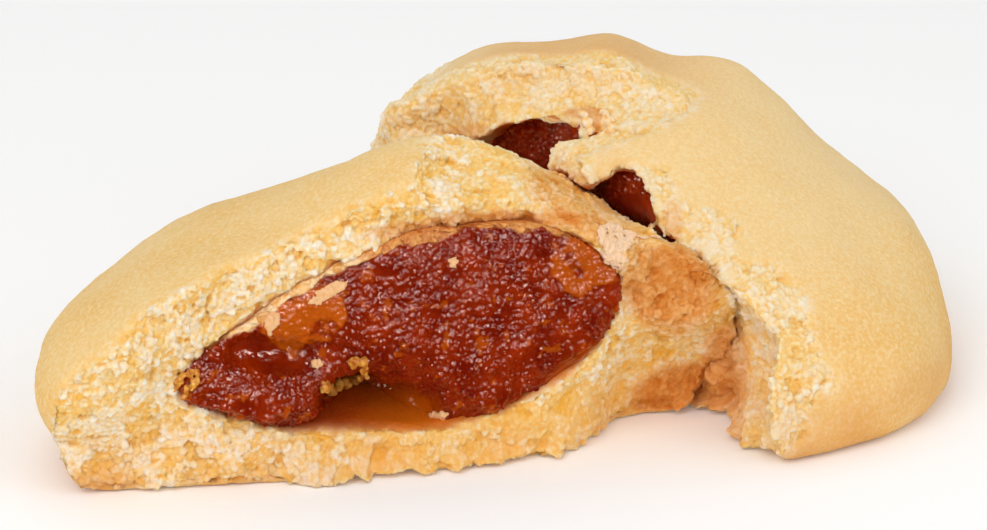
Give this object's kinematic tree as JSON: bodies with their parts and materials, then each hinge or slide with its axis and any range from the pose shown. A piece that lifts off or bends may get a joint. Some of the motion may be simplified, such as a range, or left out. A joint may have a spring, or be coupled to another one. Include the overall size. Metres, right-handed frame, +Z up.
{
  "type": "filled soft biscuit",
  "caption": "Soft filled biscuit with a smooth pale crust, torn in two to show crumbly dough round a sticky dark red jam; both halves lie flat on their bases, touching.",
  "frame": {"origin": "middle of the object's box, on the surface it lies on", "axes": "+X to the right as pictured, +Y away from the camera, +Z up"},
  "size_m": [0.069, 0.0594, 0.0235],
  "materials": {
    "dough": "matte baked dough, cream crumb and golden crust",
    "jam": "wet dark red jam"
  },
  "bodies": {
    "root": {"front_dough": "dough", "front_jam": "jam", "back_dough": "dough", "back_jam": "jam"}
  },
  "joints": []
}
